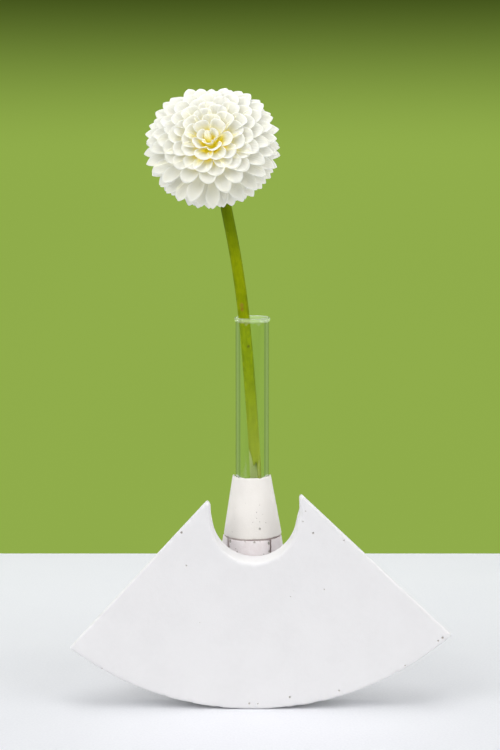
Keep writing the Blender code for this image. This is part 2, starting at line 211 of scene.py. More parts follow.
# %% Table and wall
TABLE_BEHIND = 361 * MM            # the table's far edge, behind the tube
TABLE_BEFORE = 560 * MM
TABLE_HALF_WIDTH = 620 * MM
TABLE_THICKNESS = 30 * MM
WALL_RADIUS = 2.4                  # in metres, as are the wall's heights
WALL_LOW, WALL_HIGH = -1.6, 0.95
WALL_SEGMENTS = 96


def make_table():
    bm = bmesh.new()
    bmesh.ops.create_cube(bm, size=1.0)
    depth = TABLE_BEFORE + TABLE_BEHIND
    size = Matrix.Diagonal((2 * TABLE_HALF_WIDTH, depth, TABLE_THICKNESS, 1.0))
    middle = Matrix.Translation((0, (TABLE_BEHIND - TABLE_BEFORE) / 2, -TABLE_THICKNESS / 2))
    bmesh.ops.transform(bm, matrix=middle @ size, verts=bm.verts)
    bmesh.ops.bevel(bm, geom=bm.edges[:], offset=1.5 * MM, segments=3, affect="EDGES", profile=0.5)
    return link("table", mesh_of(bm, "table", smooth=False))


def make_wall():
    """A round wall and a floor far below the table. It is open at the top, for the light."""
    bm = bmesh.new()
    height = WALL_HIGH - WALL_LOW
    bmesh.ops.create_cone(bm, segments=WALL_SEGMENTS, radius1=WALL_RADIUS, radius2=WALL_RADIUS, depth=height,
                          matrix=Matrix.Translation((0, 0, WALL_LOW + height / 2)))
    bmesh.ops.create_circle(bm, cap_ends=True, segments=WALL_SEGMENTS, radius=WALL_RADIUS,
                            matrix=Matrix.Translation((0, 0, WALL_LOW)))
    return link("wall", mesh_of(bm, "wall"))


# %% Cards
CARD_AWAY, CARD_HEIGHT, CARD_THICKNESS = 1.9, 2.4, 20 * MM     # in metres, as are the widths
PALE_TURN, PALE_WIDTH = radians(46), 1.1   # turned round the tube from straight behind it
DIM_TURN, DIM_WIDTH = radians(21.5), 0.5


def make_card(name, side, turn, width, finish):
    """An upright sheet behind the table. side is -1 for the left and 1 for the right."""
    place = Matrix.Rotation(-side * turn, 4, "Z") @ Matrix.Translation((0, CARD_AWAY, 0))
    size = Matrix.Diagonal((width, CARD_THICKNESS, CARD_HEIGHT, 1.0))
    bm = bmesh.new()
    bmesh.ops.create_cube(bm, size=1.0, matrix=place @ size)
    card = link(name, mesh_of(bm, name, smooth=False))
    card.visible_camera = False
    card.data.materials.append(finish)
    return card


def unlit(thing):
    """Let light pass as if the thing weren't there."""
    thing.visible_diffuse = False
    thing.visible_shadow = False


# %% Finishes of the table and the wall
PAINTED_LIGHT_FROM = -200 * MM            # painted light pales the table's top from here to its far edge
# painted shade on the wall's glow: none below the first height, full above the second
WALL_LIT_BELOW, WALL_PAINTED_SHADE_ABOVE = 0.28, 0.66


def table_finish():
    paint = Paint("table_laminate", Roughness=0.55)
    place = paint.place()
    grain = paint.cloud(place, 1.4 * MM, detail=3.0)
    patches = paint.cloud(place, 60 * MM)
    shade = paint.between(grain + patches * 0.25, 0.35, 0.85)
    depth = paint.node("SeparateXYZ", None, {0: place}, output=1)
    # painted light: the top pales towards the far edge
    far = paint.between(depth, PAINTED_LIGHT_FROM, TABLE_BEHIND)
    near_tone = paint.mix(shade, colour(0.775, 0.78, 0.825), colour(0.825, 0.83, 0.87))
    far_painted_light_tone = paint.mix(shade, colour(0.905, 0.925, 0.96), colour(0.95, 0.965, 0.985))
    paint.set("Base Color", paint.mix(far, near_tone, far_painted_light_tone))
    paint.bump(grain, 0.1 * MM, 0.4)
    return paint.material


def wall_finish():
    paint = Paint("wall_paper", Roughness=1.0)
    paint.shader.inputs["Specular IOR Level"].default_value = 0.0
    place = paint.place()
    weave = paint.cloud(place, 500 * MM, detail=1.0)
    height = paint.node("SeparateXYZ", None, {0: place}, output=2)
    lit = paint.between(height, WALL_PAINTED_SHADE_ABOVE, WALL_LIT_BELOW)
    paint.set("Base Color", paint.mix(weave, colour(0.005, 0.008, 0.001), colour(0.006, 0.009, 0.001)))
    glow = paint.mix(weave, colour(0.27, 0.40, 0.066), colour(0.29, 0.425, 0.072))
    # painted shade: the wall's glow darkens towards the top
    paint.set("Emission Color", paint.mix(lit, colour(0.02, 0.035, 0.002), glow))
    paint.shader.inputs["Emission Strength"].default_value = 1.0
    return paint.material


# %% Finish of the cards
def card_finish(name, dark, light):
    paint = Paint(name, Roughness=1.0)
    fibres = paint.cloud(paint.place(), 30 * MM)
    paint.set("Base Color", paint.mix(fibres, colour(0.010, 0.010, 0.009), colour(0.014, 0.014, 0.012)))
    paint.set("Emission Color", paint.mix(fibres, dark, light))
    paint.shader.inputs["Emission Strength"].default_value = 1.0
    return paint.material


def make_cards():
    pale = card_finish("pale_card", colour(0.250, 0.365, 0.100), colour(0.275, 0.390, 0.115))
    dim = card_finish("dim_card", colour(0.165, 0.255, 0.055), colour(0.190, 0.280, 0.070))
    cards = []
    for side, end in ((-1, "_left"), (1, "_right")):
        cards.append(make_card("pale_card" + end, side, PALE_TURN, PALE_WIDTH, pale))
        cards.append(make_card("dim_card" + end, side, DIM_TURN, DIM_WIDTH, dim))
    return cards


# %% The stage in place
table = make_table()
table.data.materials.append(table_finish())
wall = make_wall()
wall.data.materials.append(wall_finish())
cards = make_cards()
for thing in (wall, *cards):
    unlit(thing)
print("stage: table edge", round(TABLE_BEHIND / MM), "mm behind the tube, wall", WALL_RADIUS, "m off")

# %% Light
WORLD_LIGHT = 0.42
WORLD_TINT = (0.97, 0.985, 1.0)
LAMP_AIM = Vector((0, 0, 0.15))


def area_light(name, at, size, power, tint, aim=LAMP_AIM, mirrored=False):
    """A round soft lamp. Only a mirrored one shows as a bright spot on glass and leaves."""
    data = bpy.data.lights.new(name, "AREA")
    data.shape = "DISK"
    data.size = size
    data.energy = power
    data.color = tint
    lamp = bpy.data.objects.new(name, data)
    bpy.context.scene.collection.objects.link(lamp)
    lamp.location = at
    lamp.rotation_euler = (aim - Vector(at)).to_track_quat("-Z", "Y").to_euler()
    lamp.visible_glossy = mirrored


def soft_world():
    world = bpy.data.worlds.new("soft_room")
    bpy.context.scene.world = world
    world.use_nodes = True
    background = world.node_tree.nodes["Background"]
    background.inputs["Color"].default_value = colour(*WORLD_TINT)
    background.inputs["Strength"].default_value = WORLD_LIGHT


soft_world()
area_light("window", at=(-1.15, -1.0, 1.2), size=1.3, power=13.0, tint=(1.0, 0.99, 0.98))
area_light("fill", at=(1.3, -0.75, 0.9), size=1.3, power=8.6, tint=(1.0, 0.99, 0.985))
area_light("ceiling", at=(0.0, -0.18, 1.6), size=1.5, power=10.4, tint=(1.0, 0.995, 0.985),
           aim=Vector((0, 0.25, 0)), mirrored=True)
bpy.context.scene.view_settings.view_transform = "Standard"
print("light:", len(bpy.data.lights), "soft lamps and a pale room")

# %% [markdown]
# ## Plaster
#
# The plate, the collar, the cheeks and the fin are cast plaster. Cast plaster is flat and even, but
# its arrises are rubbed and chipped, and air bubbles leave pits. Each piece starts as a copy of its
# solid with a new, even mesh. A strongly smoothed version of that mesh shows where wear would take
# material away: nothing changes on a flat face, and an arris sinks. Noise then says how much of that
# loss each place gets. Bump in the finish would be quicker, but it would leave the outline sharp, so
# bump is kept for the grain and the finest pores.

# %% New meshes for the solids
WELD = 0.002 * MM                  # points nearer than this are one point


def settle(piece):
    """Replace the piece's mesh by what its modifiers make of it."""
    bpy.context.view_layer.update()
    evaluated = piece.evaluated_get(bpy.context.evaluated_depsgraph_get())
    mesh = bpy.data.meshes.new_from_object(evaluated)
    piece.modifiers.clear()
    piece.data = mesh
    return piece


def welded_copy(name, node):
    bm = bmesh.new()
    bm.from_mesh(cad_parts[node].data)
    bmesh.ops.remove_doubles(bm, verts=bm.verts, dist=WELD)
    return link(name, mesh_of(bm, name))


def even_mesh(piece, cell):
    remesh = piece.modifiers.new("even_mesh", "REMESH")
    remesh.mode = "VOXEL"
    remesh.voxel_size = cell
    remesh.use_smooth_shade = True
    return settle(piece)


# %% Wear
RUB_ROUNDS, LOSS_ROUNDS = 2, 22    # rounds of smoothing for a rubbed arris and for a lost one
RIPPLE_SIZE = 9 * MM
CHIPS_FROM, CHIPS_FULL = 0.25, 0.55        # heights of the noise where a chip starts and is deepest


def smoothed_points(piece, rounds):
    twin = link(piece.name + "_smoothed", piece.data.copy())
    smooth = twin.modifiers.new("rub", "SMOOTH")
    smooth.iterations = rounds
    settle(twin)
    points = [v.co.copy() for v in twin.data.vertices]
    bpy.data.objects.remove(twin)
    return points


def ramp(value, low, high):
    """0 below low, 1 above high, a smooth step between."""
    share = min(max((value - low) / (high - low), 0.0), 1.0)
    return share * share * (3 - 2 * share)


def wear(piece, everywhere, chips, chip_size, uneven, seed):
    """Rub the arrises by the share everywhere, chip them here and there, and ripple the faces."""
    rubbed = smoothed_points(piece, RUB_ROUNDS)
    lost = smoothed_points(piece, LOSS_ROUNDS)
    drift = Vector((seed * 1.7, seed * 0.9, seed * 2.3))
    normals = [v.normal.copy() for v in piece.data.vertices]
    worn = []
    for vert, soft, low, normal in zip(piece.data.vertices, rubbed, lost, normals):
        place = vert.co.copy()
        spot = noise.fractal(place / chip_size + drift, 1.0, 2.0, 3)
        chip = ramp(spot, CHIPS_FROM, CHIPS_FULL) * chips
        moved = place.lerp(soft, everywhere).lerp(low, chip)
        ripple = noise.noise(place / RIPPLE_SIZE + drift) * uneven
        worn.append(moved - normal * abs(ripple))
    for vert, place in zip(piece.data.vertices, worn):
        vert.co = place
    piece.data.update()


# %% Cuts, paint and place
def cut_away(piece, cutter):
    """Cut the cutter out of the piece. The cut faces get the piece's last material."""
    for finish in piece.data.materials:
        cutter.data.materials.append(finish)
    for face in cutter.data.polygons:
        face.material_index = max(len(piece.data.materials) - 1, 0)
    cut = piece.modifiers.new("cut", "BOOLEAN")
    cut.operation = "DIFFERENCE"
    cut.object = cutter
    settle(piece)
    bpy.data.objects.remove(cutter)


def pit_stones(name, pits):
    """One mesh of little lumpy balls, to be cut out of a face as bubbles or broken spots."""
    bm = bmesh.new()
    for number, (at, size) in enumerate(pits):
        made = bmesh.ops.create_icosphere(bm, subdivisions=2, radius=1.0)
        for vert in made["verts"]:
            lump = 1.0 + 0.35 * noise.noise(vert.co * 1.3 + Vector((number * 3.1, 0, 0)))
            stretched = Vector((vert.co.x * size[0], vert.co.y * size[1], vert.co.z * size[2]))
            vert.co = Vector(at) * MM + stretched * lump * MM
    return link(name, mesh_of(bm, name))


def paint_cast(piece, face, shaded_pit_finish):
    """The face's finish, and the darker finish, painted shade, that the pits get when they are cut."""
    piece.data.materials.clear()
    piece.data.materials.append(face)
    piece.data.materials.append(shaded_pit_finish)


def stand_in(piece, slot, *nodes):
    """The piece rides on the fixed frame and is shown in place of these nodes."""
    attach(piece, "root")
    if nodes:
        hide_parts(*nodes)
    print(piece.name, len(piece.data.polygons), "faces, for", ", ".join(nodes) or "no node")


# %% Plaster finish
PORE_CELL = 3.4 * MM               # each cell of this size has one pore or none


def plaster_finish(name, light, dark, pore_share, pore_size=0.30, grain_depth=0.12):
    """Matt plaster: cloudy patches, fine grain, and round pores in a share of the cells, which painted shade
    darkens.
    """
    paint = Paint(name, Roughness=0.86)
    place = paint.place()
    patches = paint.cloud(place, 22 * MM, detail=4.0, roughness=0.6)
    grain = paint.cloud(place, 0.9 * MM, detail=4.0, roughness=0.7)
    speckle = paint.cloud(place, 3.0 * MM, detail=2.0)
    cell = {"Vector": place, "Scale": 1.0 / PORE_CELL, "Randomness": 1.0}
    away = paint.node("TexVoronoi", None, cell, output="Distance")
    dice = paint.node("TexVoronoi", None, cell, output="Color")
    chance = paint.node("SeparateColor", None, {0: dice}, output=0)
    breadth = paint.node("SeparateColor", None, {0: dice}, output=1) * pore_size
    inside = paint.between(away - breadth * 0.5, 0.03, -0.02)
    pores = inside * paint.between(chance, pore_share, pore_share - 0.02)
    shade = paint.between(patches * 0.7 + speckle * 0.2 + grain * 0.1, 0.32, 0.62)
    body = paint.mix(shade, dark, light)
    # painted shade: the pores are darkened, for the shade inside them
    paint.set("Base Color", paint.mix(pores * 0.55, body, colour(0.40, 0.39, 0.37)))
    paint.set("Roughness", 0.8 + grain * 0.15)
    paint.bump(grain * grain_depth + speckle * 0.1 + (1 - pores) * 0.6, 0.5 * MM)
    return paint.material


# Painted shade: the pits' cut faces get a darker plaster, for the shade deep in them.
PIT_SHADE = plaster_finish("plaster_pits_painted_shade", colour(0.62, 0.58, 0.55), colour(0.48, 0.44, 0.41), 0.02)

# %% [markdown]
# ## The fan plate
#
# The plate is the largest piece: a quarter of a disc, two centimetres thick, rolled over a little on
# its round edge, so that it touches the table at one place only. Its two horns beside the notch have
# lost their points. The pits are few, and most sit near the arrises, where air is trapped. Each is
# cut out with a small lumpy ball, as a painted pit would look flat from the side.

# %% Fan plate
PLATE_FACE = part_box("front_plate")[0].y / MM
PLATE_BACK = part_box("front_plate")[1].y / MM
PLATE_CELL = 0.9 * MM
FACE_PITS = [  # across, up and radius of the pits in the front face, in mm
    (-40.7, 105.3, 0.7), (35.0, 105.0, 0.6), (-38.1, 85.8, 0.45), (41.5, 71.7, 0.35),
    (30.6, 117.8, 0.35), (29.1, 111.7, 0.35), (52.8, 100.7, 0.4), (-67.8, 79.3, 0.55),
    (-78.2, 68.0, 0.6), (-87.4, 24.6, 0.5), (-1.8, 3.6, 0.6), (3.2, 3.5, 0.4),
    (21.7, 7.4, 0.6), (50.6, 11.4, 0.5), (88.8, 26.4, 0.45), (22.1, 67.4, 0.3),
    (110.3, 43.0, 0.7), (107.8, 41.2, 0.6), (106.0, 53.4, 0.45), (-30.5, 52.0, 0.25),
]
BACK_PITS = FACE_PITS[3:10]        # the back has wider pits at a few of the same places


def make_fan_plate():
    plate = even_mesh(welded_copy("fan_plate", "front_plate"), PLATE_CELL)
    wear(plate, everywhere=0.5, chips=0.8, chip_size=6 * MM, uneven=0.0, seed=3)
    pits = [((x, PLATE_FACE, z), (r, r * 0.9, r)) for x, z, r in FACE_PITS]
    pits += [((x, PLATE_BACK, z), (r * 1.4, r, r)) for x, z, r in BACK_PITS]
    white = plaster_finish("plaster_white", colour(0.872, 0.862, 0.866), colour(0.848, 0.838, 0.842), 0.02)
    paint_cast(plate, white, PIT_SHADE)
    cut_away(plate, pit_stones("plate_pits", pits))
    stand_in(plate, "plaster", "front_plate")


make_fan_plate()

# %% [markdown]
# ## Fin, cheeks and collar
#
# Behind the plate a narrow fin carries the collar. The lower part of the collar's cone is in three
# pieces, a cheek on each side and the fin's nose between them. Crumbs of plaster fill the two joints
# between them and the seam above, and their dark colour is painted shade, the shade deep in those
# joints. This plaster is creamier and coarser, with pinkish broken places, and the collar's rim is
# chipped all round. Its back is broken off lower than its front, so nothing of it shows through the
# glass. Apart from that broken rim, the four cast pieces differ only in a few measures, so one
# function makes them all.

# %% Measures of the cream pieces
COLLAR_LOW, COLLAR_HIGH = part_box("collar")
FIN_LOW, FIN_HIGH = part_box("back_fin")
COLLAR_TOP_RADIUS = 11.4 * MM
BROKEN_FROM = 1.0 * MM             # behind this the collar's rim is broken away on a slant
BROKEN_SLOPE = radians(28)
RUBBED, CHIPPED = 0.5, 0.9         # shares of the arrises that are rubbed and chipped away
JOINT_DEPTH = 0.55 * MM            # the filling of the joints stands back this far
JOINT_CELL = 0.35 * MM
SEAM_HEIGHT, SEAM_RISE = 1.6 * MM, 0.4 * MM
COLLAR_PITS = [  # across, up and radius in mm
    (4.4, 102.2, 0.7), (4.3, 106.2, 0.32), (2.4, 108.2, 0.28), (0.2, 106.1, 0.26), (2.4, 111.8, 0.3),
    (4.3, 115.9, 0.26), (7.9, 105.5, 0.28), (-12.0, 99.5, 0.3), (6.1, 110.4, 0.22), (-4.0, 117.0, 0.2),
]
NOSE_PITS = [  # across, up and radius in mm: lost crumbs along the nose's two sides and in its face
    (-13.2, 94.0, 1.1), (-13.7, 90.6, 0.7), (9.9, 93.3, 1.0), (10.1, 88.6, 0.8), (-9.0, 88.4, 0.5),
    (-9.8, 90.2, 0.35), (1.2, 94.6, 0.7), (4.6, 94.9, 0.5), (-4.4, 94.8, 0.5),
]
CREAM_PIECES = [  # piece, node, finish, mesh cell, size of chips and depth of ripples in mm, seed, pits
    ("collar_cone", "collar", "cream", 0.55, 2.6, 0.12, 5, COLLAR_PITS),
    ("carrying_fin", "back_fin", "rough", 0.9, 4.0, 0.25, 7, NOSE_PITS),
    ("left_cheek", "cheek_left", "rough", 0.4, 2.2, 0.3, 9, []),
    ("right_cheek", "cheek_right", "rough", 0.4, 2.2, 0.3, 11, []),
]


def cone_front(across, up):
    """Where the cone's front surface is at this place, as a y in metres."""
    share = (COLLAR_HIGH.z - up) / (COLLAR_HIGH.z - COLLAR_LOW.z)
    radius = COLLAR_TOP_RADIUS + (COLLAR_HIGH.y - COLLAR_TOP_RADIUS) * share
    return -sqrt(radius * radius - across * across)


# %% Fin, cheeks and collar
def broken_rim():
    """A block that takes off the back of the collar's rim."""
    width, depth, height = 60 * MM, 40 * MM, 20 * MM
    tilt = Matrix.Rotation(-BROKEN_SLOPE, 4, "X")
    hinge = Matrix.Translation((0, BROKEN_FROM, COLLAR_HIGH.z + 0.3 * MM))
    block = Matrix.Translation((0, depth / 2, height / 2)) @ Matrix.Diagonal((width, depth, height, 1.0))
    bm = bmesh.new()
    bmesh.ops.create_cube(bm, size=1.0, matrix=hinge @ tilt @ block)
    return link("broken_rim", mesh_of(bm, "broken_rim", smooth=False))


def make_cream_piece(name, node, finish, cell, chip_size, uneven, seed, pits):
    piece = welded_copy(name, node)
    if node == "collar":
        cut_away(piece, broken_rim())
    even_mesh(piece, cell * MM)
    wear(piece, RUBBED, CHIPPED, chip_size * MM, uneven * MM, seed)
    paint_cast(piece, finish, PIT_SHADE)
    if pits:
        stones = [((x, cone_front(x * MM, z * MM) / MM, z), (r, r, r)) for x, z, r in pits]
        cut_away(piece, pit_stones(name + "_pits", stones))
    stand_in(piece, "plaster_cream", node)


# %% Filled joints
def make_joint_filling(finish):
    """Crumbs of plaster in the two joints beside the fin's nose and in the seam above them. Their dark
    finish is painted shade.
    """
    bm = bmesh.new()
    seam = -cone_front(0.0, FIN_HIGH.z) - JOINT_DEPTH
    bmesh.ops.create_cone(bm, cap_ends=True, segments=96, radius1=seam, radius2=seam, depth=SEAM_HEIGHT,
                          matrix=Matrix.Translation((0, 0, FIN_HIGH.z + SEAM_RISE)))
    left = (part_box("cheek_left")[1].x, FIN_LOW.x)
    right = (FIN_HIGH.x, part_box("cheek_right")[0].x)
    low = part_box("cheek_left")[0].z
    depth = 8 * MM
    for near, far in (left, right):
        front = cone_front((near + far) / 2, FIN_HIGH.z) + JOINT_DEPTH
        middle = Vector(((near + far) / 2, front + depth / 2, (low + FIN_HIGH.z) / 2))
        size = Matrix.Diagonal((far - near + 0.3 * MM, depth, FIN_HIGH.z - low, 1.0))
        bmesh.ops.create_cube(bm, size=1.0, matrix=Matrix.Translation(middle) @ size)
    filling = even_mesh(link("joint_filling", mesh_of(bm, "joint_filling")), JOINT_CELL)
    wear(filling, RUBBED, CHIPPED, chip_size=1.5 * MM, uneven=0.6 * MM, seed=13)
    filling.data.materials.append(finish)
    stand_in(filling, "plaster_cream")


# %% The cream pieces in place
cream_finishes = {
    "cream": plaster_finish("plaster_cream", colour(0.92, 0.885, 0.84), colour(0.895, 0.855, 0.805),
                            pore_share=0.05, pore_size=0.42, grain_depth=0.3),
    "rough": plaster_finish("plaster_rough", colour(0.95, 0.90, 0.91), colour(0.87, 0.795, 0.80),
                            pore_share=0.10, pore_size=0.5, grain_depth=0.5),
    # painted shade: the joints' filling is dark for the shade deep in the joints
    "dark": plaster_finish("plaster_joint_shade", colour(0.62, 0.53, 0.51), colour(0.34, 0.27, 0.26),
                           pore_share=0.2, pore_size=0.5, grain_depth=0.5),
}
for name, node, finish, *measures in CREAM_PIECES:
    make_cream_piece(name, node, cream_finishes[finish], *measures)
make_joint_filling(cream_finishes["dark"])

# %% [markdown]
# ## The glass tube
#
# A laboratory test tube has one wall thickness all the way down, a round bottom and a rim that was
# melted round in a flame, which leaves a small lip. The tube is one outline, turned about its axis. A
# single see-through skin would be simpler, but only a wall with an inside and an outside bends light
# as glass does and shows the cards as fine lines. The rim is a little dull, and a faint painted glow
# lightens it, standing for the light that glass leads up its wall and out there. Lamps' rays are let
# through, as the eye can't see the bright patterns that they would make, and these would take very
# many samples.

# %% The tube's outline
TUBE_LOW, TUBE_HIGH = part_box("glass_tube")
TUBE_RADIUS = (TUBE_HIGH.x - TUBE_LOW.x) / 2
TUBE_WALL = 1.7 * MM
LIP_OUT = 0.65 * MM                # the melted rim stands out this far
LIP_SIZE = 0.9 * MM
LIP_START, LIP_END = radians(150), radians(-40)
BELOW_LIP = 3.2 * MM               # the straight wall ends this far below the top
BEND_STEPS, WALL_STEPS, LIP_STEPS = 16, 24, 18


def arc(centre_r, centre_z, radius, start, end, count):
    angles = [start + (end - start) * i / (count - 1) for i in range(count)]
    return [(centre_r + radius * cos(a), centre_z + radius * sin(a)) for a in angles]


def tube_profile():
    """Radius and height, from the middle of the inside bottom over the rim to the outside bottom."""
    low, high = TUBE_LOW.z, TUBE_HIGH.z
    inner = TUBE_RADIUS - TUBE_WALL
    bend = low + TUBE_RADIUS
    straight = high - BELOW_LIP - low - TUBE_RADIUS
    inside = arc(0, bend, inner, -pi / 2, 0, BEND_STEPS)
    inside += [(inner, bend + straight * i / WALL_STEPS) for i in range(1, WALL_STEPS + 1)]
    outside = [(TUBE_RADIUS, z) for r, z in reversed(inside[BEND_STEPS:])]
    lip = TUBE_RADIUS + LIP_OUT - LIP_SIZE
    rim = arc(lip, high - LIP_SIZE, LIP_SIZE, LIP_START, LIP_END, LIP_STEPS)
    return inside + rim + outside + arc(0, bend, TUBE_RADIUS, 0, -pi / 2, BEND_STEPS)


# %% The outline, turned
TUBE_SEGMENTS = 128


def turn_profile(name, profile, segments):
    """A closed mesh, turned about the upright axis. The first and last points lie on the axis."""
    bm = bmesh.new()
    rings = []
    for radius, height in profile[1:-1]:
        ring = []
        for i in range(segments):
            a = tau * i / segments
            ring.append(bm.verts.new((radius * cos(a), radius * sin(a), height)))
        rings.append(ring)
    first = bm.verts.new((0, 0, profile[0][1]))
    last = bm.verts.new((0, 0, profile[-1][1]))
    for i in range(segments):
        j = (i + 1) % segments
        bm.faces.new((first, rings[0][i], rings[0][j]))
        bm.faces.new((last, rings[-1][j], rings[-1][i]))
        for low, high in zip(rings, rings[1:]):
            bm.faces.new((low[i], high[i], high[j], low[j]))
    bmesh.ops.recalc_face_normals(bm, faces=bm.faces)
    return link(name, mesh_of(bm, name))


# %% Glass finish
RIM_FROM, RIM_TO = 2.8 * MM, 1.2 * MM      # the rim's look comes in between these depths from the top
RIM_DULLNESS = 0.2
RIM_PAINTED_GLOW = (0.16, 0.19, 0.12)
RIM_THINNESS = 0.4                 # share of the light that goes straight through the rim


def glass_finish():
    paint = Paint("clear_glass", Roughness=0.0, IOR=1.47, Transmission_Weight=1.0)
    place = paint.place()
    haze = paint.cloud(place, 7 * MM, detail=3.0)
    paint.set("Base Color", paint.mix(haze, colour(0.95, 0.985, 0.965), colour(0.975, 0.995, 0.985)))
    height = paint.node("SeparateXYZ", None, {0: place}, output=2)
    rim = paint.between(height, TUBE_HIGH.z - RIM_FROM, TUBE_HIGH.z - RIM_TO)
    paint.set("Roughness", rim * RIM_DULLNESS)
    paint.bump(paint.cloud(place, 14 * MM, detail=1.0), 0.02 * MM, 0.3)
    # painted light: a faint glow on the rim
    paint.set("Emission Color", paint.mix(rim, colour(0.0, 0.0, 0.0), colour(*RIM_PAINTED_GLOW)))
    paint.shader.inputs["Emission Strength"].default_value = 1.0
    through = paint.node("BsdfTransparent", None, {"Color": colour(0.96, 0.985, 0.97)})
    from_lamp = paint.node("LightPath", output="Is Shadow Ray")
    clear = paint.node("Math", {"operation": "MAXIMUM"}, {0: from_lamp, 1: rim * RIM_THINNESS})
    solid = Field(paint, paint.shader.outputs["BSDF"])
    both = paint.node("MixShader", None, {0: clear, 1: solid, 2: through})
    paint.feed(paint.tree.nodes["Material Output"].inputs["Surface"], both)
    return paint.material


def make_glass_tube():
    tube = turn_profile("test_tube", tube_profile(), TUBE_SEGMENTS)
    tube.data.materials.append(glass_finish())
    stand_in(tube, "glass", "glass_tube")


make_glass_tube()

# %% [markdown]
# ## Where the bloom is
#
# The solid florets stand round an axis that leaves the heart of the flower forwards and a little up.
# That axis runs through the middle of the green receptacle and of the heart, so it is measured from
# them, which stays true if the solids change. Everything in the bloom is then made in its own space,
# with +z out of the heart.

# %% Bloom's own space
def middle_of(node):
    """The mean of a solid's points, each counted once."""
    bm = bmesh.new()
    bm.from_mesh(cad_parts[node].data)
    bmesh.ops.remove_doubles(bm, verts=bm.verts, dist=WELD)
    total = sum((v.co for v in bm.verts), Vector())
    middle = total / len(bm.verts)
    bm.free()
    return middle


def bloom_space():
    base = middle_of("receptacle")
    axis = (middle_of("heart_bud") - base).normalized()
    right = Vector((0, 0, 1)).cross(axis).normalized()
    up = axis.cross(right)
    top = max((v.co - base).dot(axis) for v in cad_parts["receptacle"].data.vertices)
    origin = base + axis * (top - 1 * MM)
    space = Matrix((right, up, axis)).transposed().to_4x4()
    return Matrix.Translation(origin) @ space


TO_WORLD = bloom_space()
TO_BLOOM = TO_WORLD.inverted()


def bloom_extent(row):
    """How far a solid ring of florets reaches to the side and up."""
    points = [TO_BLOOM @ v.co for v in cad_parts[row].data.vertices]
    return max(p.x for p in points), max(p.y for p in points)


EXTENTS = [bloom_extent(f"petal_row_{i}") for i in range(4, 9)]
BLOOM_RADIUS = max(across for across, up in EXTENTS)
BLOOM_HALF_HEIGHT = max(up for across, up in EXTENTS)
BLOOM_FRONT = 18.0 * MM            # from the florets' common centre to the heart
BLOOM_BACK = 24.0 * MM
print("bloom:", round(2 * BLOOM_RADIUS / MM, 1), "mm wide,", round(2 * BLOOM_HALF_HEIGHT / MM, 1), "mm high")

# %% [markdown]
# ## Stem
#
# A dahlia's stem is a green rod with faint ribs. This one bends a little under the bloom and was cut
# with one long slant, which tore: a tongue of skin hangs in the tube, and below it only the rear half
# goes on down. A curve with a round bevel would be shorter to write, but rings of the script's own can
# have ribs and can carry the flow along the stem that the streaks follow. So the rod is a set of rings
# along the same smooth line as its solid. A ragged block is cut out of its front, which lays the pale
# pith bare.

# %% Stem line
STEM_LINE = [  # points that pull the line, in mm, from the foot up
    (2.9, 0.6, 106.5), (2.3, 0.4, 131.6), (-0.7, 0.0, 176.0), (-4.7, 0.4, 226.5),
    (-9.6, 2.6, 261.0), (-14.6, 5.6, 286.0),
]
NECK_END = -15.3 * MM              # where the stem meets the receptacle, along the bloom's axis
NECK_REACH = 0.55
NECK_STEPS = 8
LINE_STEPS = 14


def stem_controls():
    """The listed points, and a neck that bends from them into the bloom's axis."""
    points = [Vector(p) * MM for p in STEM_LINE]
    start = points[-1]
    end = TO_WORLD @ Vector((0, 0, NECK_END))
    axis = (TO_WORLD.to_3x3() @ Vector((0, 0, 1))).normalized()
    leave = (points[-1] - points[-2]).normalized()
    reach = (end - start).length * NECK_REACH
    bend_a = start + leave * reach
    bend_b = end - axis * reach
    for i in range(1, NECK_STEPS + 1):
        t = i / NECK_STEPS
        s = 1 - t
        points.append(s**3 * start + 3 * s * s * t * bend_a + 3 * s * t * t * bend_b + t**3 * end)
    return points


def smooth_line(points, steps):
    """The points of a NURBS curve that these control points pull along."""
    curve = bpy.data.curves.new("line", "CURVE")
    curve.dimensions = "3D"
    curve.resolution_u = steps
    spline = curve.splines.new("NURBS")
    spline.points.add(len(points) - 1)
    for place, point in zip(spline.points, points):
        place.co = (*point, 1.0)
    spline.order_u = 3
    spline.use_endpoint_u = True
    holder = link("line", curve)
    bpy.context.view_layer.update()
    evaluated = holder.evaluated_get(bpy.context.evaluated_depsgraph_get())
    line = [v.co.copy() for v in bpy.data.meshes.new_from_object(evaluated).vertices]
    bpy.data.objects.remove(holder)
    return line


# %% Rod
STEM_RADIUS = 3.35 * MM
STREAK_PITCH = 0.06                # streaks are this much narrower than long


def rod(name, line, radius_at, around):
    """A closed rod of rings round a line. radius_at(share along, angle) gives each point's radius."""
    bm = bmesh.new()
    flow = bm.verts.layers.float_vector.new("flow")
    rings = []
    side = Vector((1, 0, 0))
    last = len(line) - 1
    for k, place in enumerate(line):
        ahead = (line[min(k + 1, last)] - line[max(k - 1, 0)]).normalized()
        side = (side - ahead * side.dot(ahead)).normalized()
        other = ahead.cross(side)
        ring = []
        for i in range(around):
            a = tau * i / around
            vert = bm.verts.new(place + (side * cos(a) + other * sin(a)) * radius_at(k / last, a))
            vert[flow] = (STEM_RADIUS * cos(a), STEM_RADIUS * sin(a), place.z * STREAK_PITCH)
            ring.append(vert)
        rings.append(ring)
    for low, high in zip(rings, rings[1:]):
        for i in range(around):
            j = (i + 1) % around
            bm.faces.new((low[i], low[j], high[j], high[i]))
    bm.faces.new(list(reversed(rings[0])))
    bm.faces.new(rings[-1])
    return link(name, mesh_of(bm, name))


# %% Torn end and ribs
TORN_EDGE = [  # across and up, in mm: the cut's edge from the left, down to a tongue, up and down again
    (-12.0, 152.0), (-2.1, 147.2), (-1.0, 144.6), (-0.1, 141.6), (0.45, 138.2), (0.75, 137.4),
    (1.15, 138.2), (1.7, 138.8), (2.3, 139.6), (2.7, 139.4), (2.95, 137.2), (2.9, 132.0),
    (3.1, 128.0), (3.0, 96.0), (-12.0, 96.0),
]
TORN_AT, TORN_DEPTH = 0.3 * MM, 12 * MM    # the block reaches forwards from just behind the axis


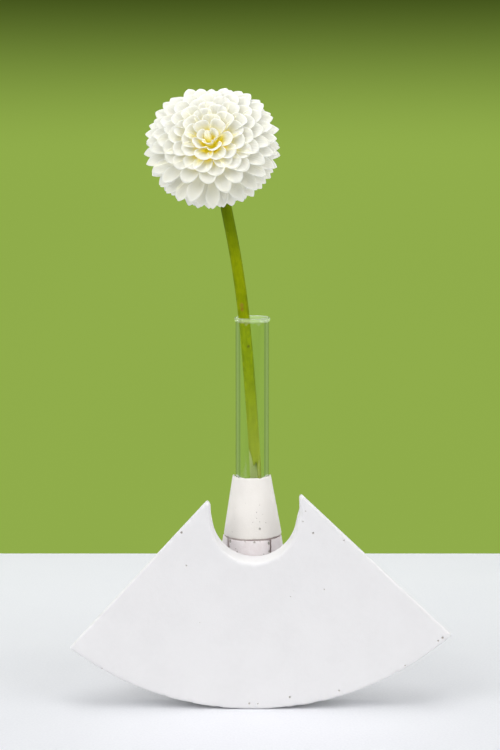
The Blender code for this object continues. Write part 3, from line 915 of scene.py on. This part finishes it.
def torn_prism():
    """A block in front of the stem's axis, whose upper edge is ragged."""
    bm = bmesh.new()
    face = bm.faces.new([bm.verts.new((x * MM, TORN_AT, z * MM)) for x, z in TORN_EDGE])
    moved = bmesh.ops.extrude_face_region(bm, geom=[face])["geom"]
    front = [v for v in moved if isinstance(v, bmesh.types.BMVert)]
    bmesh.ops.translate(bm, verts=front, vec=(0, -TORN_DEPTH, 0))
    bmesh.ops.recalc_face_normals(bm, faces=bm.faces)
    return link("torn_prism", mesh_of(bm, "torn_prism", smooth=False))


def stem_radius(share, angle):
    """Two sets of ribs, a slow wave along the stem, and a swelling under the bloom."""
    ribs = 0.010 * cos(9 * angle + 2 * share) + 0.006 * cos(14 * angle - 3 * share)
    swelling = 0.06 * ramp(share, 0.93, 1.0)
    return STEM_RADIUS * (0.99 + ribs + swelling + 0.012 * sin(11 * share))


# %% Stem finish
STEM_SHADE_FROM, STEM_SHADE_TO = 0.255, 0.285          # the bloom shades the stem above this height
STEM_PALER_ABOVE, STEM_PALER_BELOW = 0.200, 0.140    # it is paler towards its lower end
STEM_MARKS = [  # middle in mm, size in mm, strength, colour
    ((-6.3, -3.1, 233.0), 2.7, 0.60, (0.33, 0.17, 0.03)),
    ((-6.0, -3.1, 230.6), 2.3, 0.65, (0.30, 0.13, 0.02)),
    ((-2.2, -3.0, 209.0), 1.7, 0.70, (0.10, 0.09, 0.01)),
]


def stem_finish():
    paint = Paint("green_stem", Roughness=0.5)
    paint.shader.inputs["Specular IOR Level"].default_value = 0.05
    place = paint.place()
    flow = paint.node("Attribute", {"attribute_name": "flow"}, output="Vector")
    streaks = paint.cloud(flow, 0.8 * MM, detail=2.0)
    broad = paint.cloud(place, 4.5 * MM, detail=2.0)
    shade = paint.between(streaks * 0.4 + broad * 0.6, 0.34, 0.66)
    skin = paint.mix(shade, colour(0.165, 0.235, 0.001), colour(0.285, 0.360, 0.001))
    # painted light: one side of the stem is lighter
    backwards = paint.node("SeparateXYZ", None, {0: flow}, output=1)
    painted_lit_side = paint.between(backwards, -0.2 * STEM_RADIUS, -1.0 * STEM_RADIUS)
    skin = paint.mix(painted_lit_side * 0.5, skin, colour(0.29, 0.345, 0.001))
    height = paint.node("SeparateXYZ", None, {0: place}, output=2)
    paler_below = paint.between(height, STEM_PALER_ABOVE, STEM_PALER_BELOW)
    skin = paint.mix(paler_below * 0.7, skin, colour(0.37, 0.42, 0.05))
    shaded = paint.between(height, STEM_SHADE_FROM, STEM_SHADE_TO)
    skin = paint.mix(shaded * 0.6, skin, colour(0.090, 0.165, 0.001))
    rough_edge = paint.cloud(place, 1.2 * MM) * (1.2 * MM)
    for at, size, strength, stain in STEM_MARKS:
        ends = {0: place, 1: Vector(at) * MM}
        away = paint.node("VectorMath", {"operation": "DISTANCE"}, ends, output="Value")
        marked = paint.between(away + rough_edge, size * MM, 0.55 * size * MM)
        skin = paint.mix(marked * strength, skin, colour(*stain))
    flecks = paint.between(paint.cloud(place, 1.1 * MM, detail=2.0), 0.68, 0.76)
    paint.set("Base Color", paint.mix(flecks * 0.4, skin, colour(0.36, 0.40, 0.04)))
    paint.set("Roughness", 0.36 + streaks * 0.2)
    paint.bump(streaks + flecks * 0.3, 0.12 * MM)
    return paint.material


def pith_finish():
    """The pale, dull inside of the stem, where it was cut."""
    paint = Paint("stem_pith", Roughness=0.6)
    paint.shader.inputs["Specular IOR Level"].default_value = 0.2
    fibres = paint.cloud(paint.place(), 0.6 * MM, detail=3.0)
    paint.set("Base Color", paint.mix(fibres, colour(0.46, 0.54, 0.20), colour(0.60, 0.65, 0.32)))
    paint.bump(fibres, 0.15 * MM)
    return paint.material


# %% The stem in place
STEM_AROUND = 48


def make_stem():
    stem = rod("green_stem", smooth_line(stem_controls(), LINE_STEPS), stem_radius, STEM_AROUND)
    stem.data.materials.append(stem_finish())
    stem.data.materials.append(pith_finish())
    cut_away(stem, torn_prism())
    stand_in(stem, "stem", "stem")


make_stem()

# %% [markdown]
# ## Florets
#
# A dahlia's bloom is a crowd of small flowers, and each white blade is one of them. They grow in the
# order that plants use for packing: each stands 137.5 degrees round from the one before, and a little
# further from the heart. A blade leaves the receptacle as a closed quill and opens into a scoop. Near
# the heart the scoops are small and deep, and at the rim and behind they are long open tongues.
#
# Copies of one petal would look stamped, so one function makes each floret anew as a bent sheet, with
# a little chance in its reach, lean and twist. It needs a middle line, and at every place along it the
# radius of the curl and how far round the blade goes. The few florets that face the eye are placed from
# a list, and the spiral fills the rest.

# %% The bloom's surface
LAST_POLAR = radians(127.0)        # the angle from the heart to the florets that are furthest back
DOME_STEPS = 1000


def dome(polar):
    """Radius and height of the bloom's surface at an angle from the heart."""
    depth = BLOOM_FRONT if polar < pi / 2 else BLOOM_BACK
    reach = 1.0 / sqrt((sin(polar) / BLOOM_RADIUS) ** 2 + (cos(polar) / depth) ** 2)
    return Vector((reach * sin(polar), reach * cos(polar)))


def on_dome(polar, turn):
    radius, height = dome(polar)
    return Vector((radius * cos(turn), radius * sin(turn), height))


def angles_of(point):
    return atan2(hypot(point.x, point.y), point.z), atan2(point.y, point.x)


def walk_dome():
    """Along the dome from the heart: the angle, the area inside it and the way walked to it."""
    polars, areas, ways = [0.0], [0.0], [0.0]
    for i in range(1, DOME_STEPS + 1):
        polar = LAST_POLAR * i / DOME_STEPS
        here, before = dome(polar), dome(polars[-1])
        step = (here - before).length
        areas.append(areas[-1] + tau * (here.x + before.x) / 2 * step)
        ways.append(ways[-1] + step)
        polars.append(polar)
    return polars, areas, ways


POLARS, AREAS, WAYS = walk_dome()
print("bloom's surface:", round(AREAS[-1] / MM**2), "square mm")

# %% The spiral
FLORET_AREA = 58.0 * MM * MM       # share of the surface that one floret covers
TURN = radians(137.508)
FIRST_TURN = radians(96.0)


def spiral_places():
    """(angle from the heart, turn round it) for each floret in turn, youngest first."""
    count = int(AREAS[-1] / FLORET_AREA)
    polars = [float(interp((k + 1) * FLORET_AREA, AREAS, POLARS)) for k in range(count)]
    return [(polar, FIRST_TURN + TURN * k) for k, polar in enumerate(polars)]


print("spiral:", len(spiral_places()), "places")

# %% Room for every floret
SPACING = 7.9 * MM
CLOSEST = 0.72                     # share of the spacing that must be free before a floret is added
ROOM_ROUNDS, ROOM_STEP = 24, 0.2
HEART_SHIFT = Vector((-1.2, 3.0)) * MM     # the heart is a little off the middle,
SHIFTED_WITHIN = radians(60)               # and so are the florets within this angle from it
FACING = [  # the turn round the heart and the angle away from it, in degrees
    (-95, 13), (35, 16), (160, 17), (-142, 27), (-57, 28), (-8, 38), (52, 34), (122, 32),
    (-169, 42), (-101, 42), (-142, 46), (-38, 50), (-60, 56), (-119, 57), (-78, 61), (-151, 66),
    (-37, 68), (-10, 67), (-115, 69), (-55, 70),
]


def make_room(places, fixed):
    """Let florets that crowd one another move apart over the dome. The first ones stay."""
    for _ in range(ROOM_ROUNDS):
        points = [on_dome(*place) for place in places]
        for i in range(fixed, len(points)):
            push = Vector()
            for other in points:
                gap = points[i] - other
                if 0.0 < gap.length < SPACING:
                    push += gap * (SPACING / gap.length - 1.0)
            polar, turn = angles_of(points[i] + push * ROOM_STEP)
            places[i] = (min(polar, LAST_POLAR), turn)
    return places


def floret_places():
    """The florets that face the eye, and as many of the spiral's as have room beside them."""
    facing = [(radians(polar), radians(turn)) for turn, polar in FACING]
    taken = [on_dome(*place) for place in facing]
    free = []
    for polar, turn in spiral_places():
        shift = max(1.0 - polar / SHIFTED_WITHIN, 0.0) ** 2
        place = angles_of(on_dome(polar, turn) + HEART_SHIFT.to_3d() * shift)
        if min((on_dome(*place) - other).length for other in taken) > CLOSEST * SPACING:
            free.append(place)
    return make_room(facing + free, len(facing))


# %% Blades
ALONG, ACROSS = 20, 12


def mean(first, second, share):
    return first + (second - first) * share


class Sheet:
    """Collects blades in one mesh, with what the finish needs to know at each point."""

    def __init__(self):
        self.bm = bmesh.new()
        self.along = self.bm.verts.layers.float.new("along")
        self.across = self.bm.verts.layers.float.new("across")
        self.edge = self.bm.verts.layers.float.new("edge")
        self.tint = self.bm.verts.layers.float.new("tint")

    def blade(self, point_at, tip_round, point, tint, paler=0.0):
        """A grid over point_at(along, across), whose last line follows the rounded tip."""
        grid = []
        for j in range(ALONG + 1):
            line = []
            for i in range(ACROSS + 1):
                u = 2 * i / ACROSS - 1
                end = 1.0 - tip_round * (1.0 - (1.0 - abs(u) ** point) ** (1 / point))
                s = (j / ALONG) ** 0.85 * end
                vert = self.bm.verts.new(point_at(s, u))
                vert[self.along] = s + paler
                vert[self.across] = u
                # the finish paints a highlight where this is near 1, on the blade's margin and tip
                vert[self.edge] = max(abs(u), j / ALONG) ** 8
                vert[self.tint] = tint
                line.append(vert)
            grid.append(line)
        for low, high in zip(grid, grid[1:]):
            for i in range(ACROSS):
                self.bm.faces.new((low[i], low[i + 1], high[i + 1], high[i]))

    def thick_object(self, name, thickness, finish):
        made = link(name, mesh_of(self.bm, name))
        made.data.materials.append(finish)
        shell = made.modifiers.new("thickness", "SOLIDIFY")
        shell.thickness = thickness
        shell.offset = 0.0
        return settle(made)


# %% A floret's line
RECEPTACLE_RADIUS = 8.4 * MM
ROOT_FIRST, ROOT_LAST = radians(5.0), radians(112.0)
SHOULDERS = 0.09                   # how far the bloom's upper sides stand out of an ellipse


def turning(polar, start, end, first, last):
    """A value that goes from first to last between two angles from the heart, in degrees."""
    return mean(first, last, ramp(polar, radians(start), radians(end)))


def root_at(way):
    """Where on the receptacle a floret grows: radius and height of its foot."""
    polar = mean(ROOT_FIRST, ROOT_LAST, way)
    radius = RECEPTACLE_RADIUS + 0.8 * MM
    return Vector((radius * sin(polar), 1 * MM - RECEPTACLE_RADIUS + radius * cos(polar)))


def floret_line(polar, turn, chance):
    """Foot, bend and tip of a floret's middle line, each as radius and height."""
    way = float(interp(polar, POLARS, WAYS)) / WAYS[-1]
    foot = root_at(way)
    shoulder = 1 + SHOULDERS * max(sin(turn), 0.0) * abs(sin(2 * turn)) * sin(polar) ** 2
    tip = dome(polar) * mean(0.975, 1.01, chance.random()) * shoulder
    straight = tip - foot
    bow = radians(turning(polar, 16, 48, 4, 26) - turning(polar, 70, 100, 0, 10))
    lean = atan2(straight.x, straight.y) - bow + radians(mean(-4, 4, chance.random()))
    bend = foot + Vector((sin(lean), cos(lean))) * straight.length * 0.5
    return foot, bend, tip


# %% One floret
QUILL = 1.4 * MM                   # a floret's half width where it is still a tube
QUILL_ANGLE = radians(130)         # half of the way round that the tube goes
FLARE_FROM = 0.7                   # the blade turns back from this share of its length
WAVE, FRILL = 0.16 * MM, 0.35 * MM
MOST_TIP = 0.6


def floret(sheet, polar, turn, width, chance):
    """One blade of the bloom. It is made in the bloom's own space and moved into the world."""
    foot, bend, tip = floret_line(polar, turn, chance)
    length = (tip - foot).length * 1.05
    opened = radians(turning(polar, 14, 92, turning(polar, 12, 30, 140, 112), 46))
    flat = turning(polar, 20, 60, 0.42, 0.85)
    flare = turning(polar, 45, 100, 1.0, 2.4) * MM
    twist = radians(mean(-9, 9, chance.random()))
    sway = radians(mean(-3, 3, chance.random()))
    phase = chance.random() * tau
    squash = BLOOM_HALF_HEIGHT / BLOOM_RADIUS

    def point_at(s, u):
        centre = (1 - s) ** 2 * foot + 2 * (1 - s) * s * bend + s * s * tip
        ahead = (2 * (1 - s) * (bend - foot) + 2 * s * (tip - bend)).normalized()
        inward = Vector((-ahead.y, ahead.x))
        half_width = mean(QUILL, width / 2, ramp(s, 0.10, 0.95))
        half_angle = mean(QUILL_ANGLE, opened, ramp(s, 0.10, 0.60))
        curl = half_width / sin(min(half_angle, pi / 2))
        angle = half_angle * u + twist * s
        aside = curl * sin(angle)
        rise = curl * (1 - cos(angle)) * mean(0.5, flat, s * s)
        rise -= flare * max(s - FLARE_FROM, 0.0) ** 2 / (1 - FLARE_FROM) ** 2
        rise += WAVE * s * s * cos(6.0 * u + phase)
        rise += FRILL * s * s * abs(u) ** 3 * sin(8 * s + phase + 2 * u)
        place = centre + inward * rise
        around = turn + sway * s
        x = place.x * cos(around) - aside * sin(around)
        y = place.x * sin(around) + aside * cos(around)
        return TO_WORLD @ Vector((x, y * mean(1.0, squash, s), place.y))

    tip_length = width * turning(polar, 50, 90, 0.50, 0.85)
    point = turning(polar, 55, 88, 2.1, 1.32)
    paler = turning(polar, 55, 88, 0, 0.36) + turning(polar, 88, 104, 0, 0.45)
    sheet.blade(point_at, min(tip_length / length, MOST_TIP), point, chance.random(), paler)


# %% [markdown]
# ## Petal finish
#
# A white petal is not flat white. It is golden deep in the quill, creamy above, white at the rim, and
# faintly striped along its length, and a painted highlight lightens its margin and tip. Light goes into
# it and comes out beside the place where it went in, which subsurface scattering does. Light that comes
# through from the petals behind is stood for by a very faint painted glow, golden in the throats and
# white above.

# %% Petal finish
THROAT = colour(0.72, 0.69, 0.44)
STRIPE = colour(0.60, 0.60, 0.51)
EDGE_HIGHLIGHT = colour(0.75, 0.75, 0.725)
GOLD_GLOW, WHITE_GLOW = colour(0.135, 0.118, 0.003), colour(0.125, 0.126, 0.112)
STRIPES = 26.0                     # radians of the stripes' wave from the middle to the side


def petal_finish(name, gold, rim):
    paint = Paint(name, Roughness=0.5, Subsurface_Weight=0.55, Subsurface_Scale=2.0 * MM)
    paint.shader.subsurface_method = "BURLEY"
    paint.shader.inputs["Subsurface Radius"].default_value = (1.0, 0.9, 0.55)
    paint.shader.inputs["Specular IOR Level"].default_value = 0.3
    along = paint.node("Attribute", {"attribute_name": "along"}, output="Fac")
    across = paint.node("Attribute", {"attribute_name": "across"}, output="Fac")
    tint = paint.node("Attribute", {"attribute_name": "tint"}, output="Fac")
    edge = paint.node("Attribute", {"attribute_name": "edge"}, output="Fac")
    place = paint.place()
    stripes = paint.node("Math", {"operation": "SINE"}, {0: across * STRIPES}) * 0.5 + 0.5
    patches = paint.cloud(place, 5 * MM, detail=3.0)
    height = along + (patches - 0.5) * 0.10 + (tint - 0.5) * 0.08
    throat = paint.mix(paint.between(height, 0.40, 0.74), gold, THROAT)
    body = paint.mix(paint.between(height, 0.58, 0.92), throat, rim)
    shade = stripes * 0.3 + patches * 0.4
    body = paint.mix(shade * 0.14, body, STRIPE)
    # painted highlight along the blade's margin and tip
    paint.set("Base Color", paint.mix(edge * 0.8, body, EDGE_HIGHLIGHT))
    paint.set("Emission Color", paint.mix(paint.between(height, 0.36, 0.78), GOLD_GLOW, WHITE_GLOW))
    paint.shader.inputs["Emission Strength"].default_value = 1.0
    paint.set("Roughness", 0.42 + patches * 0.2)
    paint.bump(stripes * 0.5 + patches * 0.5, 0.07 * MM)
    return paint.material


# %% Bloom
ROWS = 9
FIRST_WIDTH, LAST_WIDTH = 6.2 * MM, 11.8 * MM
RIM_WIDTH = 0.80                   # florets on the rim are this much narrower again
FLORET_THICKNESS = 0.35 * MM
DROOP = radians(17)


def floret_width(polar, chance):
    grown = turning(polar, 6, 58, FIRST_WIDTH, LAST_WIDTH)
    return grown * turning(polar, 60, 84, 1.0, RIM_WIDTH) * mean(0.94, 1.06, chance.random())


def hanging(polar, turn):
    """Florets low on the rim hang, so their tips reach further from the heart."""
    low = max(-sin(turn), 0.0) ** 2
    return polar + DROOP * low * turning(polar, 68, 75, 0, 1) * turning(polar, 84, 100, 1, 0)


def make_florets(white):
    places = sorted(floret_places())
    sheets = [Sheet() for _ in range(ROWS)]
    for number, (polar, turn) in enumerate(places):
        chance = random.Random(100 + number)
        sheet = sheets[number * ROWS // len(places)]
        floret(sheet, hanging(polar, turn), turn, floret_width(polar, chance), chance)
    for row, sheet in enumerate(sheets, start=1):
        stand_in(sheet.thick_object(f"florets_{row}", FLORET_THICKNESS, white), "petal", f"petal_row_{row}")
    print("florets:", len(places))


white_petal = petal_finish("white_floret", colour(0.78, 0.66, 0.014), colour(0.615, 0.615, 0.570))
make_florets(white_petal)

# %% Packed quills
CORE_SHARE = 0.42                  # the pressed quills reach this far towards the florets' tips


def make_packed_quills(finish):
    """Deep in the bloom the florets' quills are pressed together. Only the tops of them show."""
    bm = bmesh.new()
    along = bm.verts.layers.float.new("along")
    bmesh.ops.create_uvsphere(bm, u_segments=96, v_segments=64, radius=1.0)
    for vert in bm.verts:
        polar, turn = angles_of(vert.co)
        place = on_dome(polar, turn) * CORE_SHARE
        lumps = noise.noise(place / (2.2 * MM)) * 0.9 * MM
        vert.co = TO_WORLD @ (place + place.normalized() * lumps)
        vert[along] = 0.35 + lumps / (6 * MM)
    quills = link("packed_quills", mesh_of(bm, "packed_quills"))
    quills.data.materials.append(finish)
    stand_in(quills, "petal")


make_packed_quills(white_petal)

# %% Heart
BUD_PETALS = 5
BUD_GIRTH, BUD_STEP = 2.9 * MM, 0.45 * MM  # the outermost one's radius, and how much each next one loses
BUD_TOP, BUD_TOP_STEP = 0.84, 0.025        # shares of the bloom's front depth
BUD_FOOT = 4 * MM
BUD_THICKNESS = 0.3 * MM


def make_heart():
    """The youngest florets, still closed over one another like the leaves of a cabbage."""
    cream = petal_finish("young_floret", colour(0.78, 0.66, 0.020), colour(0.70, 0.69, 0.61))
    sheet = Sheet()
    for number in range(BUD_PETALS):
        chance = random.Random(number)
        turn = FIRST_TURN + TURN * number
        girth = BUD_GIRTH - BUD_STEP * number
        top = BLOOM_FRONT * (BUD_TOP + BUD_TOP_STEP * number)
        reach = radians(mean(62, 84, number / BUD_PETALS))

        def point_at(s, u, turn=turn, girth=girth, top=top, reach=reach):
            radius = girth * sin(mean(0.35 * pi, 0.87 * pi, s))
            angle = turn + reach * u * mean(1.0, 1.25, s)
            height = mean(BUD_FOOT, top, sin(s * pi / 2))
            flat = Vector((radius * cos(angle), radius * sin(angle))) + HEART_SHIFT * s
            return TO_WORLD @ Vector((flat.x, flat.y, height))

        sheet.blade(point_at, 0.22, 2.0, chance.random())
    stand_in(sheet.thick_object("heart_florets", BUD_THICKNESS, cream), "heart", "heart_bud")


make_heart()

# %% [markdown]
# ## Green parts behind the bloom
#
# The florets stand on a green dome, the receptacle, which only shows from behind, between the bracts.
# The bracts are small leaves that once closed the bud. They now stand out round the neck. They are
# blades on the same grid as the florets, with a midrib. The receptacle's own solid is round enough to
# be shown as it is.

# %% Leaf finish
def leaf_finish():
    paint = Paint("green_bract", Roughness=0.5)
    place = paint.place()
    across = paint.node("Attribute", {"attribute_name": "across"}, output="Fac")
    veins = paint.node("Math", {"operation": "SINE"}, {0: across * 22.0}) * 0.5 + 0.5
    patches = paint.cloud(place, 4 * MM, detail=3.0)
    shade = paint.between(patches * 0.7 + veins * 0.3, 0.3, 0.7)
    paint.set("Base Color", paint.mix(shade, colour(0.14, 0.24, 0.03), colour(0.30, 0.42, 0.09)))
    paint.set("Roughness", 0.45 + patches * 0.2)
    paint.bump(veins * 0.5 + patches * 0.4, 0.12 * MM)
    return paint.material


# %% Receptacle and bracts
BRACTS = 6
BRACT_FOOT = Vector((5.7, -13.9)) * MM     # radius and height in the bloom's own space
BRACT_BEND = Vector((11.0, -14.5)) * MM
BRACT_TIP = Vector((14.0, -20.0))          # in mm, before each one's own share of chance
BRACT_CUP, MIDRIB = 0.9 * MM, 0.25 * MM
MIDRIB_WIDTH = 0.12                # share of the bract's half width
BRACT_THICKNESS = 0.6 * MM


def make_bracts(finish):
    sheet = Sheet()
    for number in range(BRACTS):
        chance = random.Random(40 + number)
        turn = tau * number / BRACTS
        tip = BRACT_TIP * mean(0.94, 1.03, chance.random()) * MM

        def point_at(s, u, turn=turn, tip=tip):
            centre = (1 - s) ** 2 * BRACT_FOOT + 2 * (1 - s) * s * BRACT_BEND + s * s * tip
            half_width = mean(2.9, 3.4, s) * (1 - 0.75 * max(s - 0.35, 0) ** 1.4) * MM
            aside = half_width * u
            rise = -BRACT_CUP * u * u - MIDRIB * exp(-((u / MIDRIB_WIDTH) ** 2)) * (1 - s)
            x = centre.x * cos(turn) - aside * sin(turn)
            y = centre.x * sin(turn) + aside * cos(turn)
            return TO_WORLD @ Vector((x, y, centre.y + rise))

        sheet.blade(point_at, 0.5, 1.5, chance.random())
    stand_in(sheet.thick_object("neck_bracts", BRACT_THICKNESS, finish), "leaf", "bracts")


leaf_green = leaf_finish()
make_bracts(leaf_green)
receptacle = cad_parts["receptacle"]
receptacle.data.materials.clear()
receptacle.data.materials.append(leaf_green)
print("receptacle: the solid itself, with the bracts' finish")
